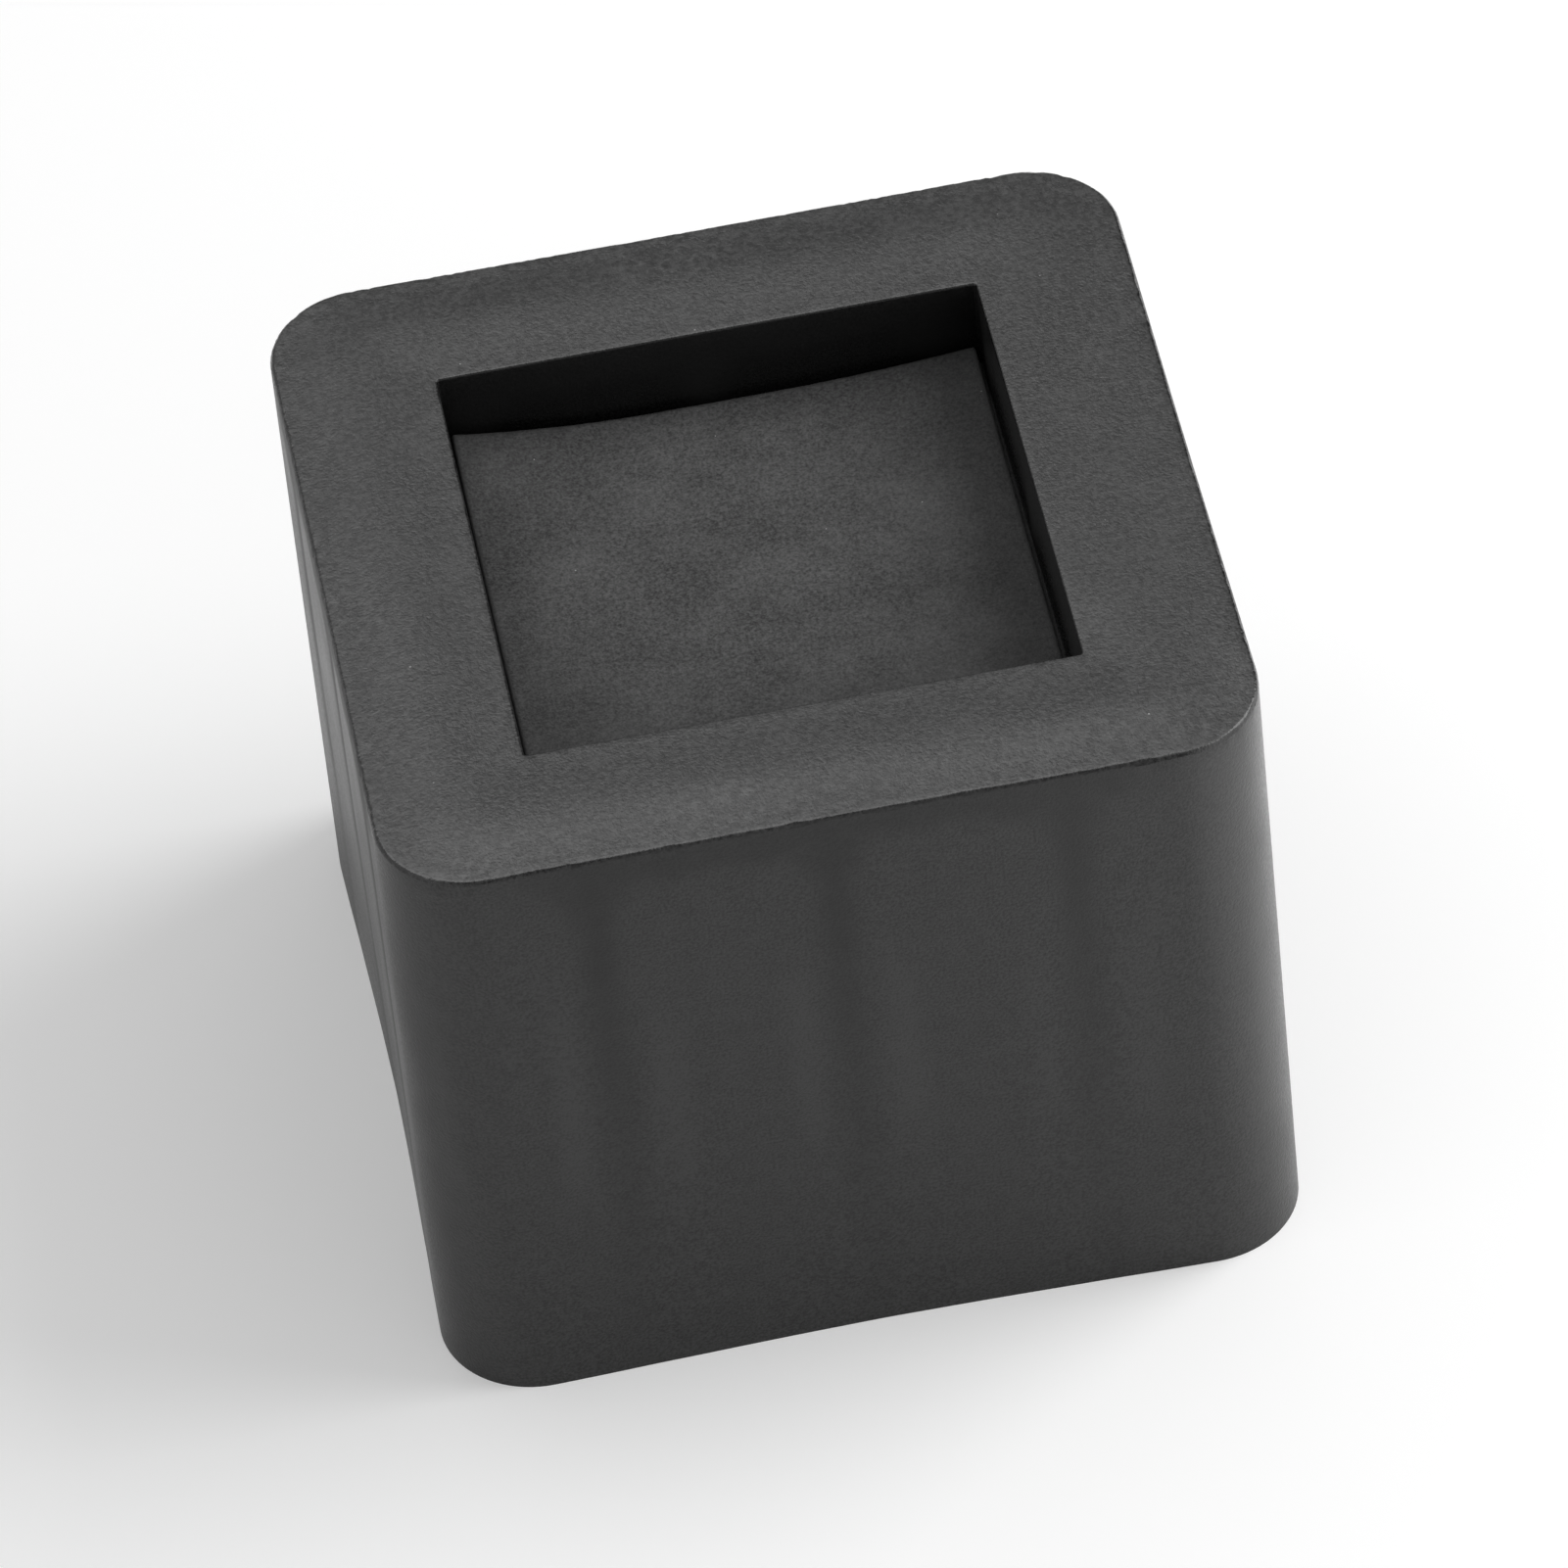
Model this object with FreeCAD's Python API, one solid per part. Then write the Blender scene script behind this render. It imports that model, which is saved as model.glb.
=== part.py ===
import FreeCAD, Part
import math
import os

# Furniture leg riser: a hollow moulded block that stands open side down, with a square
# recess in its top and a loose pad in the recess. Millimetres, +Z up. The origin is the
# middle of the foot, at the floor, and +Y is the side that is furthest in the photograph.

# Block, a square column that widens to its foot by the draft
rim_width = 90.0
height = 74.0
draft_angle = 0.5
corner_radius = 10.0
rim_round = 0.4

# Thickness of the outer wall and of the rim that closes it at the top
wall = 3.0
rim_thickness = 3.5

# Recess that takes the furniture leg, and the well that carries it under the rim
recess_width = 57.0
recess_depth = 11.3
recess_corner = 0.5
mouth_round = 0.3
well_wall = 3.0
well_floor = 3.0

# Ribs across the hollow, thinner at the foot than at the root so that they leave the mould
rib_pitch = 24.3
rib_steps = (-1, 0, 1)
rib_root = 2.4
rib_tip = 1.6

# Pad, cut from sheet, that lies on the floor of the recess
pad_thickness = 2.0
pad_gap = 0.6

# Two far corners of the pad curl up over a length along its edges
curl_length = 22.0
left_curl_lift = 1.7
right_curl_lift = 1.2

draft = math.tan(math.radians(draft_angle))
recess_floor = height - recess_depth
up = FreeCAD.Vector(0, 0, 1)


def vector(x, y, z):
    return FreeCAD.Vector(x, y, z)


def rounded_square(half, radius, z):
    """Closed outline at height z: four straight sides joined by quarter circles."""
    flat = half - radius
    bulge = flat + radius * math.sqrt(0.5)
    edges = []
    for quarter in range(4):
        turn = FreeCAD.Rotation(up, 90 * quarter)
        start = turn.multVec(vector(half, -flat, z))
        end = turn.multVec(vector(half, flat, z))
        middle = turn.multVec(vector(bulge, bulge, z))
        next_side = turn.multVec(vector(flat, half, z))
        edges.append(Part.LineSegment(start, end).toShape())
        edges.append(Part.Arc(end, middle, next_side).toShape())
    return Part.Wire(edges)


def tapered_column(half_top, radius_top, bottom, top, widening):
    """Column whose half width grows downwards by widening for each millimetre."""
    growth = (top - bottom) * widening
    lower = rounded_square(half_top + growth, radius_top + growth, bottom)
    upper = rounded_square(half_top, radius_top, top)
    return Part.makeLoft([lower, upper], True, True)


def edges_at(shape, z):
    """Edges of the shape that lie wholly in the level plane at z."""
    level = []
    for edge in shape.Edges:
        box = edge.BoundBox
        if abs(box.ZMin - z) < 1e-4 and abs(box.ZMax - z) < 1e-4:
            level.append(edge)
    return level


def outer_block():
    """Outside of the moulding, with the edge of its rim rounded off."""
    block = tapered_column(rim_width / 2, corner_radius, 0, height, draft)
    return block.makeFillet(rim_round, edges_at(block, height))


def recess():
    """Space of the recess, which narrows downwards and flares at its mouth."""
    space = tapered_column(recess_width / 2, recess_corner, recess_floor, height, -draft)
    flare_half = recess_width / 2 + mouth_round
    flare_corner = recess_corner + mouth_round
    flare = tapered_column(flare_half, flare_corner, height - mouth_round, height, -1)
    return space.fuse(flare)


def well():
    """Walls and floor of the recess as one solid block, before the recess is cut out."""
    half = recess_width / 2 + well_wall
    corner = recess_corner + well_wall
    return tapered_column(half, corner, recess_floor - well_floor, height, -draft)


def rib(offset):
    """One rib that runs across the hollow along Y, with its tapered section."""
    top = height - rim_thickness
    reach = rim_width
    section = Part.makePolygon([
        vector(offset - rib_tip / 2, -reach, 0),
        vector(offset + rib_tip / 2, -reach, 0),
        vector(offset + rib_root / 2, -reach, top),
        vector(offset - rib_root / 2, -reach, top),
        vector(offset - rib_tip / 2, -reach, 0)])
    return Part.Face(section).extrude(vector(0, 2 * reach, 0))


def hollow():
    """Cells that are open at the foot, which the ribs and the well leave of the inside."""
    top = height - rim_thickness
    half = rim_width / 2 - wall + rim_thickness * draft
    corner = corner_radius - wall
    space = tapered_column(half, corner, 0, top, draft)
    solids = [well()]
    for step in rib_steps:
        along_y = rib(step * rib_pitch)
        along_x = along_y.copy()
        along_x.rotate(vector(0, 0, 0), up, 90)
        solids += [along_y, along_x]
    return space.cut(solids)


def riser_body():
    return outer_block().cut([recess(), hollow()]).removeSplitter()


def pad_half():
    """Half the pad's width, from the recess at its floor and the gap round the pad."""
    return recess_width / 2 - recess_depth * draft - pad_gap


def curled_corner(side, lift):
    """Far corner of the pad on one side, bent upwards as part of a large cylinder."""
    half = pad_half()
    reach = curl_length * math.sqrt(0.5)
    radius = (reach ** 2 + lift ** 2) / (2 * lift)
    outward = vector(side * math.sqrt(0.5), math.sqrt(0.5), 0)
    along = vector(-side * math.sqrt(0.5), math.sqrt(0.5), 0)
    corner = vector(side * half, half, recess_floor)
    axis_start = corner - outward * reach + up * radius - along * curl_length
    under = Part.makeCylinder(radius, 2 * curl_length, axis_start, along)
    over = Part.makeCylinder(radius - pad_thickness, 2 * curl_length, axis_start, along)
    outline = Part.makePolygon([
        corner,
        corner - vector(side * curl_length, 0, 0),
        corner - vector(0, curl_length, 0),
        corner])
    column = Part.Face(outline).extrude(up * (lift + 2 * pad_thickness))
    return under.cut(over).common(column)


def recess_pad():
    """Square of sheet with its two far corners curled up."""
    half = pad_half()
    outline = Part.makePolygon([
        vector(-half, -half, recess_floor),
        vector(half, -half, recess_floor),
        vector(half, half - curl_length, recess_floor),
        vector(half - curl_length, half, recess_floor),
        vector(-half + curl_length, half, recess_floor),
        vector(-half, half - curl_length, recess_floor),
        vector(-half, -half, recess_floor)])
    sheet = Part.Face(outline).extrude(up * pad_thickness)
    corners = [curled_corner(-1, left_curl_lift), curled_corner(1, right_curl_lift)]
    return sheet.fuse(corners).removeSplitter()


os.makedirs("parts", exist_ok=True)
riser_body().exportStep("parts/riser_body.step")
recess_pad().exportStep("parts/recess_pad.step")
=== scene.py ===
import math

import bpy
import numpy as np
from mathutils import Matrix, Vector, noise


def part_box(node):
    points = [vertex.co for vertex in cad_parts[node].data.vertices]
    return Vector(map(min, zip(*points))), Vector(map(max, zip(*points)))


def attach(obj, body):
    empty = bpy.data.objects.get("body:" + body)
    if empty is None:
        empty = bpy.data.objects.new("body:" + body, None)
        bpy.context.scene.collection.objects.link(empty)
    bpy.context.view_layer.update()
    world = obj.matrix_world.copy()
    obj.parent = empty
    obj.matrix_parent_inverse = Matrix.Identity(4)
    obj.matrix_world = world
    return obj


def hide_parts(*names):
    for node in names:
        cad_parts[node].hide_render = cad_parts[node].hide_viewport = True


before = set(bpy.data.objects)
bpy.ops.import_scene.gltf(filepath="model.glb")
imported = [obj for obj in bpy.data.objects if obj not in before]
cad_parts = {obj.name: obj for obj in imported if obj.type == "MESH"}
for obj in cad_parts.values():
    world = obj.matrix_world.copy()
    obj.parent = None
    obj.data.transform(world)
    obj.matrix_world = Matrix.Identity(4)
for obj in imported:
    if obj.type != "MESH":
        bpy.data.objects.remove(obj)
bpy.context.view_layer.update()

# Lengths here are millimetres, and MM turns them into the scene's metres.
MM = 0.001

# Block, as the solids have it
BODY_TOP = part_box("riser_body")[1] / MM
HEIGHT = BODY_TOP.z
FOOT_HALF = BODY_TOP.x
DRAFT_ANGLE = 0.5
DRAFT = math.tan(math.radians(DRAFT_ANGLE))
RIM_HALF = FOOT_HALF - HEIGHT * DRAFT
CORNER = 10.0
WALL = 3.0
RIM_THICKNESS = 3.5

# Recess and the well that carries it
RECESS_HALF = 28.5
RECESS_CORNER = 0.3
MOUTH_ROUND = 0.3
WELL_WALL = 3.0
WELL_FLOOR = 3.0
PAD_LOW, PAD_HIGH = (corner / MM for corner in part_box("recess_pad"))
RECESS_FLOOR = PAD_LOW.z

# Ribs inside the hollow
RIB_PITCH = 24.3
RIB_PLACES = (-RIB_PITCH, 0.0, RIB_PITCH)
RIB_ROOT = 2.4
RIB_TIP = 1.6

# How far the cutting shapes reach past the faces that they cut
OVERSHOOT = 1.0
RIB_OVERSHOOT = 5.0

# Sinks in the walls over the ribs, which start below the rim and grow fainter to the foot
SINK_DEPTH = 0.08
SINK_AT_FOOT = 0.35
SINK_WIDTH = 2.9
SINK_START = 3.5
SINK_FULL = 10.0

# Walls drawn in between their corners, most at the foot. The powers say how steeply that fades up
# the wall and inwards.
BOW_FOOT = 0.85
BOW_RIM = 0.12
BOW_UP_POWER = 1.6
BOW_INWARD_POWER = 3

# Rim that falls away from its middle to its edges, but not on its right side. That side comes in
# over RIGHT_SIDE_BLEND past the block's diagonals, and the power says how steeply its lift fades
# down the wall.
OUTER_FALL = 0.42
INNER_FALL = 0.2
RIM_ROUND = 0.55
RIGHT_SIDE_BLEND = 14.0
LIFT_DOWN_POWER = 4

# Nicks in the rim's edge: depth, and noises by their weight and features per millimetre
NICK_DEPTH = 0.12
NICK_NOISES = ((1.0, 1.7), (0.6, 0.35))

# Pad, with the lift of its left and right far corners. Its noises have a height in millimetres and
# features per millimetre.
PAD_THICKNESS = 2.0
PAD_ROUND = 0.3
PAD_CORNER = 0.45
PAD_TOP_DROP = 0.06
CURL_LENGTH = 22.0
CURL_LIFTS = {-1: 2.1, 1: 1.25}
PAD_WAVES = ((0.09, 0.09), (0.03, 0.6))
PAD_FRAYS = ((0.07, 2.3), (0.04, 7.0))

# Steps of the meshes
SIDE_STEPS = 120
CORNER_STEPS = 20
COLUMN_CORNER_STEPS = 8
WALL_RINGS = 46
RIM_RINGS = 22
RECESS_RINGS = 8
ROUND_STEPS = 5
PAD_STEPS = 92
PAD_ROUND_ANGLES = (0, 30, 60, 90)

# Edges sharper than this many degrees stay crisp
BODY_CREASE = 32
PAD_CREASE = 40

COS_45 = math.sqrt(0.5)
TINY = 1e-9


def smoothstep(low, high, value):
    share = np.clip((value - low) / (high - low), 0.0, 1.0)
    return share * share * (3 - 2 * share)


def outline(half, radius, z, side_steps=SIDE_STEPS, corner_steps=CORNER_STEPS):
    """Points of a square with rounded corners at height z, anticlockwise."""
    flat = half - radius
    side = np.linspace(-flat, flat, side_steps, endpoint=False)
    turn = np.linspace(0, math.pi / 2, corner_steps, endpoint=False)
    x = np.concatenate([np.full(side_steps, half), flat + radius * np.cos(turn)])
    y = np.concatenate([side, flat + radius * np.sin(turn)])
    quarters = []
    for _ in range(4):
        quarters.append(np.stack([x, y, np.full(len(x), z)], axis=1))
        x, y = -y, x
    return np.concatenate(quarters)


def skin(rings):
    """Quads between rings of the same number of points, closed by a face at each end."""
    count = len(rings[0])
    faces = []
    for level in range(len(rings) - 1):
        base = level * count
        for i in range(count):
            j = (i + 1) % count
            faces.append((base + i, base + j, base + count + j, base + count + i))
    faces.append(tuple(reversed(range(count))))
    faces.append(tuple(range((len(rings) - 1) * count, len(rings) * count)))
    return np.concatenate(rings), faces


def new_object(name, points, faces):
    """Object from points in millimetres."""
    mesh = bpy.data.meshes.new(name)
    mesh.from_pydata([tuple(point * MM) for point in points], [], faces)
    mesh.validate()
    made = bpy.data.objects.new(name, mesh)
    bpy.context.scene.collection.objects.link(made)
    return made


def column(name, half_top, radius_top, bottom, top, widening):
    """Column whose half width grows downwards, as the draft makes it."""
    growth = (top - bottom) * widening
    steps = {"side_steps": 1, "corner_steps": COLUMN_CORNER_STEPS}
    lower = outline(half_top + growth, radius_top + growth, bottom, **steps)
    upper = outline(half_top, radius_top, top, **steps)
    return new_object(name, *skin([lower, upper]))


def rib(name, place, along_x):
    """Tapered rib right across the hollow."""
    top = HEIGHT - RIM_THICKNESS + OVERSHOOT
    ends = FOOT_HALF + RIB_OVERSHOOT
    rings = []
    for z, thickness in ((-OVERSHOOT, RIB_TIP), (top, RIB_ROOT)):
        low, high = place - thickness / 2, place + thickness / 2
        corners = [(low, -ends), (high, -ends), (high, ends), (low, ends)]
        if along_x:
            corners = [(y, -x) for x, y in corners]
        rings.append(np.array([(x, y, z) for x, y in corners], float))
    return new_object(name, *skin(rings))


def combine(target, tool, operation):
    """Boolean of two closed meshes. The tool is used up."""
    modifier = target.modifiers.new("combine", "BOOLEAN")
    modifier.operation = operation
    modifier.solver = "MANIFOLD"
    modifier.object = tool
    bpy.context.view_layer.update()
    graph = bpy.context.evaluated_depsgraph_get()
    result = bpy.data.meshes.new_from_object(target.evaluated_get(graph))
    result.materials.clear()
    target.modifiers.clear()
    target.data = result
    bpy.data.objects.remove(tool)


def layered_noise(place, layers):
    """Sum of noises at a place, each given by its weight and its features per millimetre."""
    return sum(weight * noise.noise(place * scale) for weight, scale in layers)


def sink_depth(place, z):
    """How far the wall is sunk at a place along it, over the ribs behind."""
    grown = smoothstep(SINK_START, SINK_FULL, HEIGHT - z)
    faded = SINK_AT_FOOT + (1 - SINK_AT_FOOT) * np.clip(z / HEIGHT, 0, 1)
    sunk = sum(np.exp(-((place - rib_place) / SINK_WIDTH) ** 2) for rib_place in RIB_PLACES)
    return SINK_DEPTH * grown * faded * sunk


def sunk_wall(points, z):
    """Outer wall ring with the sink marks of the ribs in its four flat sides."""
    moved = points.copy()
    flat = RIM_HALF - CORNER / 2
    for axis, other in ((0, 1), (1, 0)):
        on_side = (np.abs(points[:, other]) < flat) & (np.abs(points[:, axis]) > flat)
        depth = sink_depth(points[on_side, other], z)
        moved[on_side, axis] -= np.sign(points[on_side, axis]) * depth
    return moved


def worn_edge(points):
    """Rim edge with the small nicks and unevenness of handling."""
    moved = points.copy()
    for index, point in enumerate(points):
        depth = NICK_DEPTH * max(0.0, layered_noise(Vector(point), NICK_NOISES))
        moved[index, 2] -= depth
        moved[index, :2] *= 1 - depth / RIM_HALF
    return moved


def raised(points, amount):
    """Points lifted on the right side, where the rim doesn't fall away."""
    moved = points.copy()
    on_right = smoothstep(0, RIGHT_SIDE_BLEND, points[:, 0] - np.abs(points[:, 1]))
    moved[:, 2] += amount * on_right
    return moved


def wall_rings(wall_top):
    """Rings from the foot up to the rim's rounded edge."""
    rings = []
    for z in np.linspace(0, wall_top, WALL_RINGS):
        growth = (HEIGHT - z) * DRAFT
        ring = sunk_wall(outline(RIM_HALF + growth, CORNER + growth, z), z)
        rings.append(raised(ring, OUTER_FALL * (z / wall_top) ** LIFT_DOWN_POWER))
    return rings


def rim_rings(wall_top, inner_half, inner_radius):
    """Rings over the rim's rounded edge and across the rim to the mouth of the recess."""
    rings = []
    for step in range(1, ROUND_STEPS + 1):
        angle = math.pi / 2 * step / ROUND_STEPS
        inset = RIM_ROUND * (1 - math.cos(angle))
        z = wall_top + RIM_ROUND * math.sin(angle)
        rings.append(raised(worn_edge(outline(RIM_HALF - inset, CORNER - inset, z)), OUTER_FALL))
    outer_half, outer_radius = RIM_HALF - RIM_ROUND, CORNER - RIM_ROUND
    for step in range(1, RIM_RINGS + 1):
        share = step / RIM_RINGS
        half = outer_half + (inner_half - outer_half) * share
        radius = outer_radius + (inner_radius - outer_radius) * share
        edge_fall = OUTER_FALL if share < 0.5 else INNER_FALL
        fall = edge_fall * (1 + math.cos(2 * math.pi * share)) / 2
        rings.append(raised(outline(half, radius, HEIGHT - fall), fall))
    return rings


def recess_rings(mouth, inner_half, inner_radius):
    """Rings round the mouth's edge and down the walls to the recess floor."""
    rings = []
    for step in range(1, ROUND_STEPS + 1):
        angle = math.pi / 2 * step / ROUND_STEPS
        inset = MOUTH_ROUND * math.sin(angle)
        drop = MOUTH_ROUND * (1 - math.cos(angle))
        rings.append(raised(outline(inner_half - inset, inner_radius - inset, mouth - drop), INNER_FALL))
    for z in np.linspace(mouth - MOUTH_ROUND, RECESS_FLOOR, RECESS_RINGS)[1:]:
        narrowing = (HEIGHT - z) * DRAFT
        ring = outline(RECESS_HALF - narrowing, RECESS_CORNER - narrowing, z)
        rings.append(raised(ring, INNER_FALL * (z - RECESS_FLOOR) / (mouth - RECESS_FLOOR)))
    return rings


def outer_rings():
    """Rings from the foot up the wall, over the rim and down to the recess floor."""
    wall_top = HEIGHT - OUTER_FALL - RIM_ROUND
    mouth = HEIGHT - INNER_FALL
    inner_half, inner_radius = RECESS_HALF + MOUTH_ROUND, RECESS_CORNER + MOUTH_ROUND
    return (wall_rings(wall_top) + rim_rings(wall_top, inner_half, inner_radius)
            + recess_rings(mouth, inner_half, inner_radius))


def hollow():
    """Cells of the underside: the inside of the wall less the ribs and the well."""
    top = HEIGHT - RIM_THICKNESS
    half = RIM_HALF - WALL + RIM_THICKNESS * DRAFT
    cells = column("hollow", half, CORNER - WALL, -OVERSHOOT, top, DRAFT)
    for number, place in enumerate(RIB_PLACES):
        combine(cells, rib(f"rib_y_{number}", place, False), "DIFFERENCE")
        combine(cells, rib(f"rib_x_{number}", place, True), "DIFFERENCE")
    well_half = RECESS_HALF + WELL_WALL
    bottom = RECESS_FLOOR - WELL_FLOOR
    well = column("well", well_half, RECESS_CORNER + WELL_WALL, bottom, HEIGHT + OVERSHOOT, -DRAFT)
    combine(cells, well, "DIFFERENCE")
    return cells


def draw_in(points):
    """Walls drawn inwards between their corners, more at the foot than at the rim."""
    half = RIM_HALF + (HEIGHT - points[:, 2]) * DRAFT
    height_share = np.clip(points[:, 2] / HEIGHT, 0, 1)
    bow = BOW_RIM + (BOW_FOOT - BOW_RIM) * (1 - height_share) ** BOW_UP_POWER
    moved = points.copy()
    for axis, other in ((0, 1), (1, 0)):
        across = points[:, axis] / half
        along = np.cos(np.clip(points[:, other] / half, -1, 1) * math.pi / 2) ** 2
        moved[:, axis] -= bow * np.sign(across) * np.abs(across) ** BOW_INWARD_POWER * along
    return moved


def smooth_with_creases(piece, degrees):
    """Smooth shading, with edges sharper than this angle kept crisp."""
    mesh = piece.data
    mesh.shade_smooth()
    mesh.set_sharp_from_angle(angle=math.radians(degrees))
    mesh.update()


def build_body():
    body = new_object("riser_moulding", *skin(outer_rings()))
    combine(body, hollow(), "DIFFERENCE")
    mesh = body.data
    points = np.empty(len(mesh.vertices) * 3)
    mesh.vertices.foreach_get("co", points)
    points = draw_in(points.reshape(-1, 3) / MM)
    mesh.vertices.foreach_set("co", (points * MM).ravel())
    smooth_with_creases(body, BODY_CREASE)
    return body


def curl_height(x, y):
    """Height of the pad's underside above the recess floor."""
    reach = CURL_LENGTH * COS_45
    height = np.zeros_like(x)
    for side, lift in CURL_LIFTS.items():
        radius = (reach ** 2 + lift ** 2) / (2 * lift)
        past = (side * x + y - 2 * PAD_HIGH.x) * COS_45 + reach
        past = np.clip(past, 0, None)
        height += radius - np.sqrt(radius ** 2 - past ** 2)
    return height


def pad_lines():
    """Places of the pad's mesh lines across its width, closer at its edges."""
    half = PAD_HIGH.x
    angles = [math.radians(angle) for angle in PAD_ROUND_ANGLES]
    edge = [half - PAD_ROUND * (1 - math.cos(angle)) for angle in angles]
    inside = np.linspace(-edge[-1], edge[-1], PAD_STEPS)
    return np.concatenate([-np.array(edge[:-1]), inside, np.array(edge[:-1])[::-1]])


def cut_corners(x, y, half):
    """Places of the pad's points once its four corners are rounded."""
    flat = half - PAD_CORNER
    over_x = np.clip(np.abs(x) - flat, 0, None)
    over_y = np.clip(np.abs(y) - flat, 0, None)
    far = np.hypot(over_x, over_y)
    shrink = np.where(far > 0, np.maximum(over_x, over_y) / np.maximum(far, TINY), 1.0)
    moved_x = np.sign(x) * (np.minimum(np.abs(x), flat) + over_x * shrink)
    moved_y = np.sign(y) * (np.minimum(np.abs(y), flat) + over_y * shrink)
    return moved_x, moved_y


def pad_faces(count):
    """Faces of two square grids of points, the upper one first, joined round their edges."""
    shift = count * count
    faces = []
    for i in range(count - 1):
        for j in range(count - 1):
            a, b = i * count + j, (i + 1) * count + j
            faces.append((a, b, b + 1, a + 1))
            faces.append((a + shift, a + 1 + shift, b + 1 + shift, b + shift))
    last = count - 1
    for i in range(last):
        rims = ((i, i + 1, False), (i + last * count, i + 1 + last * count, True),
                (i * count, (i + 1) * count, True),
                (i * count + last, (i + 1) * count + last, False))
        for a, b, turned in rims:
            side = (a, b, b + shift, a + shift)
            faces.append(tuple(reversed(side)) if turned else side)
    return faces


def build_pad():
    """Square of sheet with a slightly frayed cut edge and two curled corners."""
    lines = pad_lines()
    count = len(lines)
    x, y = np.meshgrid(lines, lines, indexing="ij")
    half = PAD_HIGH.x
    to_edge = half - np.maximum(np.abs(x), np.abs(y))
    inset = np.clip(PAD_ROUND - to_edge, 0, PAD_ROUND)
    rounded = PAD_ROUND - np.sqrt(np.clip(PAD_ROUND ** 2 - inset ** 2, 0, None))
    low = RECESS_FLOOR + curl_height(x, y)
    wave = np.zeros_like(x)
    for i in range(count):
        for j in range(count):
            place = Vector((lines[i], lines[j], 0.0))
            wave[i, j] = layered_noise(place, PAD_WAVES)
            if to_edge[i, j] < PAD_ROUND:
                fray = abs(layered_noise(place, PAD_FRAYS))
                x[i, j] -= math.copysign(fray, x[i, j])
                y[i, j] -= math.copysign(fray, y[i, j])
    x, y = cut_corners(x, y, half)
    top = low + PAD_THICKNESS - rounded - PAD_TOP_DROP + wave
    upper = np.stack([x, y, top], axis=2).reshape(-1, 3)
    lower = np.stack([x, y, low], axis=2).reshape(-1, 3)
    pad = new_object("recess_pad_sheet", np.concatenate([upper, lower]), pad_faces(count))
    smooth_with_creases(pad, PAD_CREASE)
    return pad


class Nodes:
    """Short names for the nodes of one material, or of the world."""

    def __init__(self, owner, shader="Principled BSDF"):
        owner.use_nodes = True
        self.owner = owner
        self.tree = owner.node_tree
        self.shader = self.tree.nodes[shader]
        places = self.add("ShaderNodeTexCoord").outputs
        self.place = places["Object"]
        self.facing = places["Normal"]
        self.direction = places["Generated"]

    def link(self, source, target):
        self.tree.links.new(source, target)

    def add(self, kind, **values):
        node = self.tree.nodes.new(kind)
        for key, value in values.items():
            setattr(node, key, value)
        return node

    def noise(self, scale, detail, roughness=0.6):
        """Noise in the object's own place. Scale is features per metre."""
        texture = self.add("ShaderNodeTexNoise")
        texture.inputs["Scale"].default_value = scale
        texture.inputs["Detail"].default_value = detail
        texture.inputs["Roughness"].default_value = roughness
        self.link(self.place, texture.inputs["Vector"])
        return texture.outputs["Fac"]

    def parts(self, vector):
        """The three numbers of a vector."""
        node = self.add("ShaderNodeSeparateXYZ")
        self.link(vector, node.inputs["Vector"])
        return node.outputs["X"], node.outputs["Y"], node.outputs["Z"]

    def math(self, operation, *values):
        node = self.add("ShaderNodeMath", operation=operation)
        for socket, value in zip(node.inputs, values):
            if isinstance(value, (int, float)):
                socket.default_value = value
            else:
                self.link(value, socket)
        return node.outputs[0]

    def plus(self, first, second):
        return self.math("ADD", first, second)

    def times(self, first, second):
        return self.math("MULTIPLY", first, second)

    def rest_of(self, share):
        """What a share leaves of one."""
        return self.math("SUBTRACT", 1.0, share)

    def spread(self, value, span, into=(0.0, 1.0), curve="LINEAR"):
        """Value carried from one span of numbers into another, and held at its ends."""
        node = self.add("ShaderNodeMapRange", interpolation_type=curve)
        for key, number in zip(("From Min", "From Max", "To Min", "To Max"), (*span, *into)):
            node.inputs[key].default_value = number
        self.link(value, node.inputs["Value"])
        return node.outputs["Result"]

    def smooth(self, value, span, into=(0.0, 1.0)):
        """As spread, with soft ends."""
        return self.spread(value, span, into, "SMOOTHSTEP")

    def reach(self):
        """Distance from the block's middle, across or along, whichever is more."""
        x, y = self.parts(self.place)[:2]
        return self.math("MAXIMUM", self.math("ABSOLUTE", x), self.math("ABSOLUTE", y))

    def bump(self, height, depth):
        node = self.add("ShaderNodeBump")
        node.inputs["Distance"].default_value = depth * MM
        node.inputs["Strength"].default_value = BUMP_STRENGTH
        self.link(height, node.inputs["Height"])
        return node.outputs["Normal"]

    def mix_colour(self, share, first, second):
        """Colours given as three numbers, or as the output of a node."""
        node = self.add("ShaderNodeMix", data_type="RGBA")
        colours = [socket for socket in node.inputs if socket.type == "RGBA"]
        for socket, colour in zip(colours, (first, second)):
            if isinstance(colour, tuple):
                socket.default_value = (*colour, 1.0)
            else:
                self.link(colour, socket)
        self.link(share, node.inputs["Factor"])
        return [socket for socket in node.outputs if socket.type == "RGBA"][0]


def metres(*lengths):
    return tuple(length * MM for length in lengths)


def grey(value):
    return (value, value, value)


# Bumps: one strength, and depths in millimetres
BUMP_STRENGTH = 0.9
PLASTIC_BUMP = 0.05
PAD_BUMP = 0.14

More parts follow.
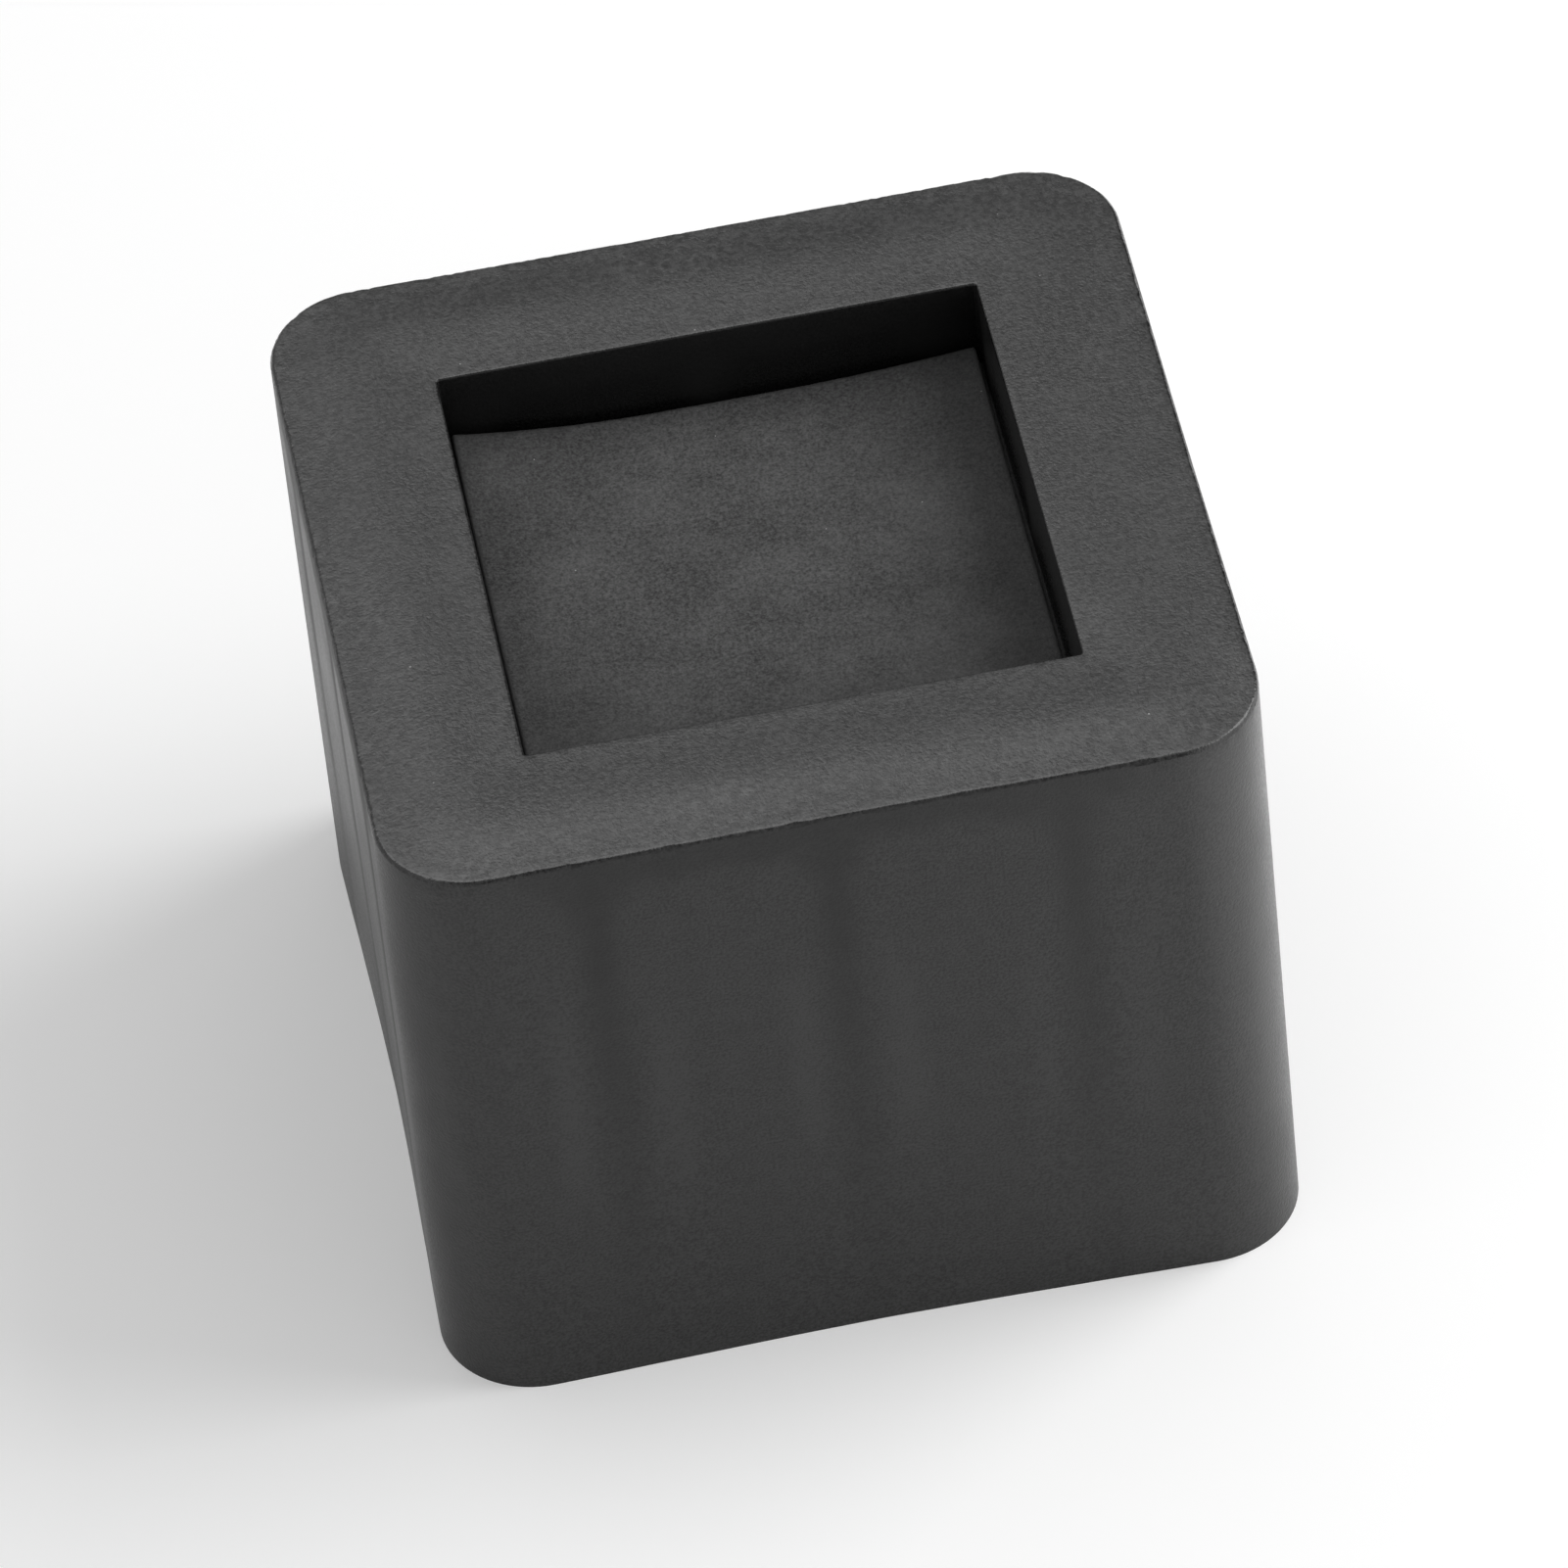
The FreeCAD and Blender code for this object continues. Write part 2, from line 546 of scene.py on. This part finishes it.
# Bands on the walls in millimetres: each band's place beside its rib and how far it reaches, and
# heights over the foot, below the rim or along the wall between which a band comes or goes. The
# bands over the ribs and below the rim are duller and carry a painted shade; the bands beside the
# ribs are only a painted highlight. Single numbers are shares, but PLATE_RAGGED is a height.
RIB_SINK_SHADE = (-0.6, 3.9)
RIB_SINK_SHADE_HEIGHTS = (6.0, 62.0)
RIB_SINK_SHADE_AT_FOOT = 0.15
FLANK_HIGHLIGHT_BANDS = ((-5.4, 2.8), (5.0, 3.4))
FLANK_START = (20.0, 32.0)
FLANK_END = (46.0, 60.0)
FLANK_FAINTEST = 0.45
FLARE_BELOW_RIM = (11.0, 4.0)
FLARE_AT_RIM = 0.45
PLATE_BELOW_RIM = (6.6, 3.0)
PLATE_RAGGED = 0.8
PLATE_STRENGTH = 0.9
FLAT_OF_WALL = (27.0, 36.0)

# Parts of the block, told by where a face looks, as a share of its normal, and by millimetres
# below the rim, outside the recess and below its floor
FRONT_OR_BACK = 0.7
LEVEL_FACING = (0.55, 0.9)
ROUND_STARTS = (0.05, 0.3)
ROUND_ENDS = (0.93, 0.99)
ROUND_BELOW_RIM = 2.0
RECESS_MARGIN = 0.05
BELOW_RECESS = 1.0

# Body plastic
PLASTIC_IOR = 1.47
PLASTIC_DARK = grey(0.002)
PLASTIC_PALE = grey(0.025)
# Pale colour of the painted glints on the rim's outer half, standing in for the crown's gloss
GLINT_COLOUR = grey(0.046)
DUST_ON_PLASTIC = grey(0.2)
# The next two: a painted shade over the sinks, and a painted highlight beside the ribs
SUNK_PAINTED_SHADE = 0.45
FLANK_PAINTED_HIGHLIGHT = 0.4
# Painted shade in the recess, where its walls shut out the light
RECESS_PAINTED_SHADE = 0.85
GLINTING_RIM = (35.0, 40.0)
GLINT_STRENGTH = 0.9
SUNK_DULLER = 0.2
ROUND_GLOSSIER = 0.13
RECESS_WALL_GLOSSIER = 0.1
RECESS_FLOOR_DULLER = 0.4
GRAIN_ROUGHNESS = (0.31, 0.44)
CLOUD_ROUGHNESS = (-0.03, 0.03)

# Noises of the plastic: features per metre, the span of their values that counts, and shares
GRAIN_SCALE = 3200
GRAIN_SPAN = (0.3, 0.7)
MOTTLE_SCALE = 1500
MOTTLE_SPAN = (0.41, 0.59)
SPECKLE_SCALE = 420
SPECKLE_SPAN = (0.34, 0.64)
SPECKLE_SHARE = 0.2
BLOTCH_SCALE = 240
BLOTCH_SPAN = (0.48, 0.7)
BLOTCH_SHARES = (-0.08, 0.3)
CLOUD_SCALE = 60
CLOUD_SPAN = (0.35, 0.65)
# Noises of the painted glints on the rim
GLINT_SCALE = 950
GLINT_SPAN = (0.52, 0.68)
GLINT_GROUP_SCALE = 85
GLINT_GROUP_SPAN = (0.4, 0.65)
RAGGED_SCALE = 110
RAGGED_SPAN = (0.3, 0.7)
FLANK_SCALE = 38
FLANK_SPAN = (0.4, 0.6)

# Pad sheet, palest round a spot to the left of the middle and behind it, and darker away from it towards
# the recess walls, which is a painted shade
PAD_IOR = 1.4
PAD_DARK = grey(0.014)
PAD_PALE = grey(0.092)
DUST_ON_PAD = grey(0.3)
PAD_CLOUD_SCALE = 130
PAD_CLOUD_SPAN = (0.4, 0.7)
PAD_CLOUD_SHARES = (-0.01, 0.2)
PAD_SPECKLE_SCALES = (2100, 3900)
PAD_SPECKLE_SPAN = (0.34, 0.66)
PAD_SPECKLE_SHARES = (0.0, 0.78)
PALEST_X = -3.0
PALEST_Y = 6.0
PALE_REACH = (12.0, 36.0)
PAD_FAR_SHARE = 0.5
PAD_CUT_EDGE = (0.6, 0.15)
PAD_ROUGH_SPAN = (0.3, 0.7)
PAD_ROUGHNESS = (0.92, 0.8)

# Dust: cells per metre, sizes as shares of a cell, and the share of the cells that stay clean
RIM_DUST_SCALE = 85
PAD_DUST_SCALE = 110
DUST_REACH = (0.004, 0.011)
CLEAN_CELLS = 0.75


def rib_bands(nodes, along, flare, mark):
    """Upright bands beside each rib, which widen where flare is below one."""
    place, reach = metres(*mark)
    half_pitch = RIB_PITCH * MM / 2
    moved = nodes.math("SUBTRACT", along, place)
    away = nodes.math("ABSOLUTE", nodes.math("WRAP", moved, half_pitch, -half_pitch))
    return nodes.smooth(nodes.times(away, flare), (0.0, reach), (1.0, 0.0))


def sink_marks_and_painted_light(nodes):
    """Masks of the walls: where they are duller and carry a painted shade, over the rim plate and the ribs,
    and where they carry a painted highlight, beside the ribs.
    """
    x, y, z = nodes.parts(nodes.place)
    across = nodes.math("ABSOLUTE", nodes.parts(nodes.facing)[1])
    faces_y = nodes.math("GREATER_THAN", across, FRONT_OR_BACK)
    along = nodes.plus(nodes.times(x, faces_y), nodes.times(y, nodes.rest_of(faces_y)))
    flare_heights = metres(*(HEIGHT - below for below in FLARE_BELOW_RIM))
    flare = nodes.smooth(z, flare_heights, (1.0, FLARE_AT_RIM))
    fade = nodes.spread(z, metres(*RIB_SINK_SHADE_HEIGHTS), (RIB_SINK_SHADE_AT_FOOT, 1.0))
    ribs = nodes.times(rib_bands(nodes, along, flare, RIB_SINK_SHADE), fade)

    ragged_heights = metres(-PLATE_RAGGED, PLATE_RAGGED)
    ragged = nodes.spread(nodes.noise(RAGGED_SCALE, detail=2), RAGGED_SPAN, ragged_heights)
    plate_heights = metres(*(HEIGHT - below for below in PLATE_BELOW_RIM))
    plate = nodes.smooth(nodes.plus(z, ragged), plate_heights, (0.0, PLATE_STRENGTH))
    on_flat = nodes.smooth(nodes.math("ABSOLUTE", along), metres(*FLAT_OF_WALL), (1.0, 0.0))
    plate = nodes.times(plate, on_flat)

    uneven = nodes.spread(nodes.noise(FLANK_SCALE, detail=1), FLANK_SPAN, (FLANK_FAINTEST, 1.0))
    halfway = nodes.times(nodes.smooth(z, metres(*FLANK_START)),
                          nodes.smooth(z, metres(*FLANK_END), (1.0, 0.0)))
    left, right = (rib_bands(nodes, along, flare, mark) for mark in FLANK_HIGHLIGHT_BANDS)
    painted_flank_highlight = nodes.times(nodes.math("MAXIMUM", left, right), nodes.times(halfway, uneven))
    return nodes.math("MAXIMUM", ribs, plate), painted_flank_highlight


def on_rounds(nodes):
    """One on the rounded edges of the rim and the mouth, nought on flat and upright faces."""
    up = nodes.parts(nodes.facing)[2]
    leaning = nodes.times(nodes.spread(up, ROUND_ENDS, (1.0, 0.0)), nodes.spread(up, ROUND_STARTS))
    height = nodes.parts(nodes.place)[2]
    return nodes.times(leaning, nodes.math("GREATER_THAN", height, (HEIGHT - ROUND_BELOW_RIM) * MM))


def within_recess(nodes):
    """One on the walls and floor of the recess, nought elsewhere."""
    height = nodes.parts(nodes.place)[2]
    inside = nodes.math("LESS_THAN", nodes.reach(), (RECESS_HALF + RECESS_MARGIN) * MM)
    above = nodes.math("GREATER_THAN", height, (RECESS_FLOOR - BELOW_RECESS) * MM)
    return nodes.times(inside, above)


def dust_specks(nodes, scale):
    """One on a few specks scattered over the level faces. Scale is cells per metre."""
    cells = nodes.add("ShaderNodeTexVoronoi", voronoi_dimensions="2D")
    cells.inputs["Scale"].default_value = scale
    nodes.link(nodes.place, cells.inputs["Vector"])
    chance = nodes.parts(cells.outputs["Color"])
    reach = nodes.spread(chance[1], (0.0, 1.0), DUST_REACH)
    near = nodes.math("LESS_THAN", cells.outputs["Distance"], reach)
    return nodes.times(near, nodes.math("GREATER_THAN", chance[0], CLEAN_CELLS))


def rim_painted_glints(nodes, level):
    """Painted highlight: small pale glints in groups, on the outer half of the rim, where its crown catches
    the light.
    """
    outer = nodes.smooth(nodes.reach(), metres(*GLINTING_RIM), (0.0, GLINT_STRENGTH))
    single = nodes.spread(nodes.noise(GLINT_SCALE, detail=2), GLINT_SPAN)
    groups = nodes.spread(nodes.noise(GLINT_GROUP_SCALE, detail=1), GLINT_GROUP_SPAN)
    return nodes.times(nodes.times(nodes.times(single, groups), outer), level)


def plastic_colour(nodes, level, grain, mottle, sunk, painted_flank_highlight, recess):
    """Mottled on level faces and speckled on upright ones, with a painted shade in the recess and over the
    sinks, a painted highlight beside the ribs and painted glints on the rim's outer half.
    """
    blotch = nodes.spread(nodes.noise(BLOTCH_SCALE, detail=3), BLOTCH_SPAN, BLOTCH_SHARES)
    mottled = nodes.plus(nodes.spread(mottle, MOTTLE_SPAN), blotch)
    speckled = nodes.plus(nodes.times(nodes.noise(SPECKLE_SCALE, detail=2), SPECKLE_SHARE),
                          nodes.times(grain, 1 - SPECKLE_SHARE))
    share = nodes.plus(nodes.times(mottled, level),
                       nodes.times(nodes.spread(speckled, SPECKLE_SPAN), nodes.rest_of(level)))
    # Painted shade over the sinks, and a painted highlight beside the ribs
    share = nodes.times(share, nodes.rest_of(nodes.times(sunk, SUNK_PAINTED_SHADE)))
    share = nodes.plus(share, nodes.times(painted_flank_highlight, FLANK_PAINTED_HIGHLIGHT))
    # Painted shade in the recess
    share = nodes.times(share, nodes.rest_of(nodes.times(recess, RECESS_PAINTED_SHADE)))
    colour = nodes.mix_colour(share, PLASTIC_DARK, PLASTIC_PALE)
    # Painted highlight: pale glints on the rim's outer half
    colour = nodes.mix_colour(rim_painted_glints(nodes, level), colour, GLINT_COLOUR)
    dust = nodes.times(dust_specks(nodes, RIM_DUST_SCALE), level)
    return nodes.mix_colour(dust, colour, DUST_ON_PLASTIC)


def plastic_roughness(nodes, level, grain, sunk, recess):
    """Duller in the sinks and on the recess floor, glossier on rounded edges and recess walls."""
    cloud = nodes.spread(nodes.noise(CLOUD_SCALE, detail=3), CLOUD_SPAN, CLOUD_ROUGHNESS)
    rough = nodes.plus(nodes.spread(grain, GRAIN_SPAN, GRAIN_ROUGHNESS), cloud)
    rough = nodes.plus(rough, nodes.times(sunk, SUNK_DULLER))
    rough = nodes.math("SUBTRACT", rough, nodes.times(on_rounds(nodes), ROUND_GLOSSIER))
    in_recess = nodes.spread(level, (0.0, 1.0), (-RECESS_WALL_GLOSSIER, RECESS_FLOOR_DULLER))
    return nodes.plus(rough, nodes.times(recess, in_recess))


def moulded_plastic():
    """Near-black moulded plastic: a mottled grain on the rim, a finer satin on the walls."""
    nodes = Nodes(bpy.data.materials.new("moulded_plastic"))
    nodes.shader.inputs["IOR"].default_value = PLASTIC_IOR
    level = nodes.spread(nodes.parts(nodes.facing)[2], LEVEL_FACING)
    recess = within_recess(nodes)
    # Wall bands: duller with a painted shade over the sinks, and a painted highlight beside the ribs
    sunk, painted_flank_highlight = (nodes.times(mark, nodes.rest_of(level)) for mark in sink_marks_and_painted_light(nodes))
    mottle = nodes.noise(MOTTLE_SCALE, detail=3, roughness=0.7)
    grain = nodes.noise(GRAIN_SCALE, detail=1)
    colour = plastic_colour(nodes, level, grain, mottle, sunk, painted_flank_highlight, recess)
    rough = plastic_roughness(nodes, level, grain, sunk, recess)
    normal = nodes.bump(nodes.plus(grain, nodes.times(mottle, level)), PLASTIC_BUMP)
    nodes.link(colour, nodes.shader.inputs["Base Color"])
    nodes.link(rough, nodes.shader.inputs["Roughness"])
    nodes.link(normal, nodes.shader.inputs["Normal"])
    return nodes.owner


def pad_sheet():
    """Black sheet with a fine speckle, darker away from a spot near its middle as a painted shade, and dark
    along its cut edge.
    """
    nodes = Nodes(bpy.data.materials.new("pad_sheet"))
    nodes.shader.inputs["IOR"].default_value = PAD_IOR
    cloud = nodes.noise(PAD_CLOUD_SCALE, detail=4, roughness=0.65)
    coarse, fine = (nodes.times(nodes.noise(scale, detail=1), 0.5) for scale in PAD_SPECKLE_SCALES)
    speckle = nodes.plus(coarse, fine)
    share = nodes.plus(nodes.spread(cloud, PAD_CLOUD_SPAN, PAD_CLOUD_SHARES),
                       nodes.spread(speckle, PAD_SPECKLE_SPAN, PAD_SPECKLE_SHARES))
    x, y = nodes.parts(nodes.place)[:2]
    # Painted shade: darker away from the palest spot, towards the recess walls
    across = nodes.math("POWER", nodes.math("SUBTRACT", x, PALEST_X * MM), 2.0)
    along = nodes.math("POWER", nodes.math("SUBTRACT", y, PALEST_Y * MM), 2.0)
    from_palest = nodes.math("SQRT", nodes.plus(across, along))
    share = nodes.times(share, nodes.smooth(from_palest, metres(*PALE_REACH), (1.0, PAD_FAR_SHARE)))
    edge_places = metres(*(PAD_HIGH.x - inset for inset in PAD_CUT_EDGE))
    share = nodes.times(share, nodes.spread(nodes.reach(), edge_places, (1.0, 0.0)))
    colour = nodes.mix_colour(share, PAD_DARK, PAD_PALE)
    colour = nodes.mix_colour(dust_specks(nodes, PAD_DUST_SCALE), colour, DUST_ON_PAD)
    nodes.link(colour, nodes.shader.inputs["Base Color"])
    rough = nodes.spread(cloud, PAD_ROUGH_SPAN, PAD_ROUGHNESS)
    nodes.link(rough, nodes.shader.inputs["Roughness"])
    nodes.link(nodes.bump(speckle, PAD_BUMP), nodes.shader.inputs["Normal"])
    return nodes.owner


# Floor, with what is added to it where it is seen directly or in a reflection. The side glow comes
# in between two distances to the right of the block's middle.
FLOOR_SIZE = 6000.0
FLOOR_ALBEDO = 0.85
FLOOR_LIFT = 0.2
MIRRORED_LIFT = 0.1
SIDE_GLOW = 0.6
SIDE_GLOW_REACH = (26.0, 86.0)

# World: the light on matt surfaces, and the studio that shiny ones mirror, with directions in
# which it brightens or darkens. A cap is a span of cosines from such a direction.
WORLD_LIGHT = 0.55
SEEN_WHITE = 1.0
BRIGHT_WAY = (-0.35, -0.65, 0.68)
DARK_SIDE = 0.2
BRIGHT_SIDE = 1.15
NEAR_WAY = (-0.07, -0.77, 0.63)
NEAR_CAP = (0.72, 0.95)
NEAR_DARK = 0.25
RIGHT_WAY = (0.93, -0.22, 0.29)
RIGHT_CAP = (0.5, 0.95)
RIGHT_BRIGHT = 1.2
FAR_WAY = (0.66, 0.74, 0.1)
FAR_CAP = (0.8, 0.95)
FAR_DARK = 0.2

# Round lamps: name, place, width, watts, and whether they light matt surfaces too
LAMPS = (
    ("key_light", (936.0, 65.0, 897.0), 1050.0, 12.0, True),
    ("overhead_light", (-221.0, 404.0, 1290.0), 1353.0, 11.7, False),
)


def mirrored_rays(nodes):
    """The Light Path node, and one for rays that a shiny or clear surface sends on."""
    path = nodes.add("ShaderNodeLightPath")
    mirrored = nodes.math("MAXIMUM", path.outputs["Is Glossy Ray"], path.outputs["Is Transmission Ray"])
    return path, mirrored


def floor_paint():
    """White floor. Seen directly or in a reflection it is lifted to white, shadows kept."""
    nodes = Nodes(bpy.data.materials.new("floor_paint"))
    nodes.shader.inputs["Base Color"].default_value = (*grey(FLOOR_ALBEDO), 1.0)
    nodes.shader.inputs["Roughness"].default_value = 1.0
    nodes.shader.inputs["Specular IOR Level"].default_value = 0.0
    path, mirrored = mirrored_rays(nodes)
    to_right = nodes.parts(nodes.place)[0]
    side = nodes.smooth(to_right, metres(*SIDE_GLOW_REACH), (MIRRORED_LIFT, MIRRORED_LIFT + SIDE_GLOW))
    lift = nodes.plus(nodes.times(path.outputs["Is Camera Ray"], FLOOR_LIFT), nodes.times(mirrored, side))
    glow = nodes.add("ShaderNodeEmission")
    nodes.link(lift, glow.inputs["Strength"])
    both = nodes.add("ShaderNodeAddShader")
    nodes.link(nodes.shader.outputs["BSDF"], both.inputs[0])
    nodes.link(glow.outputs["Emission"], both.inputs[1])
    nodes.link(both.outputs["Shader"], nodes.tree.nodes["Material Output"].inputs["Surface"])
    return nodes.owner


def build_floor():
    half = FLOOR_SIZE / 2
    corners = np.array([(-half, -half, 0), (half, -half, 0), (half, half, 0), (-half, half, 0)])
    ground = new_object("floor", corners, [(0, 1, 2, 3)])
    ground.data.materials.append(floor_paint())


def towards(nodes, direction):
    """Cosine between a ray and a direction."""
    turned = nodes.add("ShaderNodeVectorMath", operation="DOT_PRODUCT")
    turned.inputs[1].default_value = direction
    nodes.link(nodes.direction, turned.inputs[0])
    return turned.outputs["Value"]


def mirrored_studio(nodes):
    """Brightness of the studio in reflections: dark to the near side and far right, bright to the right."""
    studio = nodes.spread(towards(nodes, BRIGHT_WAY), (-1.0, 1.0), (DARK_SIDE, BRIGHT_SIDE))
    near_side = nodes.smooth(towards(nodes, NEAR_WAY), NEAR_CAP, (1.0, NEAR_DARK))
    right_side = nodes.smooth(towards(nodes, RIGHT_WAY), RIGHT_CAP, (0.0, RIGHT_BRIGHT))
    far_side = nodes.smooth(towards(nodes, FAR_WAY), FAR_CAP, (1.0, FAR_DARK))
    return nodes.times(nodes.plus(nodes.times(studio, near_side), right_side), far_side)


def build_world():
    """White where it is seen, an even soft light, and in reflections a studio."""
    world = bpy.data.worlds.new("studio")
    bpy.context.scene.world = world
    nodes = Nodes(world, "Background")
    path, mirrored = mirrored_rays(nodes)

    def blend(share, first, second):
        return nodes.plus(nodes.times(nodes.rest_of(share), first), nodes.times(share, second))

    strength = blend(mirrored, WORLD_LIGHT, mirrored_studio(nodes))
    strength = blend(path.outputs["Is Camera Ray"], strength, SEEN_WHITE)
    nodes.link(strength, nodes.shader.inputs["Strength"])
    nodes.shader.inputs["Color"].default_value = (1, 1, 1, 1)


def build_lamps():
    for name, place, size, watts, on_matt in LAMPS:
        light = bpy.data.lights.new(name, "AREA")
        light.shape = "DISK"
        light.size = size * MM
        light.energy = watts
        lamp = bpy.data.objects.new(name, light)
        bpy.context.scene.collection.objects.link(lamp)
        lamp.visible_diffuse = on_matt
        lamp.location = Vector(place) * MM
        aim = Vector((0, 0, HEIGHT / 2)) - Vector(place)
        lamp.rotation_euler = aim.to_track_quat("-Z", "Y").to_euler()


# Camera, worked out from the perspective of the photograph: degrees, and the lens in millimetres
CAMERA_DISTANCE = 1173.4
CAMERA_AZIMUTH = -5.73
CAMERA_ELEVATION = 44.56
CAMERA_ROLL = -6.32
CAMERA_TARGET = Vector((0.0, 0.0, 35.0))
CAMERA_LENS = 258.0
CAMERA_SENSOR = 36.0
CAMERA_CLIP = (50.0, 20000.0)


def build_camera():
    azimuth, elevation = math.radians(CAMERA_AZIMUTH), math.radians(CAMERA_ELEVATION)
    back = Vector((math.sin(azimuth) * math.cos(elevation),
                   -math.cos(azimuth) * math.cos(elevation), math.sin(elevation)))
    level = Vector((0, 0, 1)).cross(back).normalized()
    upright = back.cross(level)
    roll = math.radians(CAMERA_ROLL)
    right = level * math.cos(roll) + upright * math.sin(roll)
    up = back.cross(right)
    data = bpy.data.cameras.new("camera")
    data.lens = CAMERA_LENS
    data.sensor_width = CAMERA_SENSOR
    data.clip_start, data.clip_end = metres(*CAMERA_CLIP)
    camera = bpy.data.objects.new("camera", data)
    bpy.context.scene.collection.objects.link(camera)
    turn = Matrix((right, up, back)).transposed().to_4x4()
    place = (CAMERA_TARGET + back * CAMERA_DISTANCE) * MM
    camera.matrix_world = Matrix.Translation(place) @ turn
    bpy.context.scene.camera = camera


build_camera()
build_world()
build_lamps()
build_floor()

body = build_body()
body.data.materials.append(moulded_plastic())
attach(body, "root")
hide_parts("riser_body")

pad = build_pad()
pad.data.materials.append(pad_sheet())
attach(pad, "root")
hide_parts("recess_pad")

bpy.context.scene.view_settings.view_transform = "Standard"
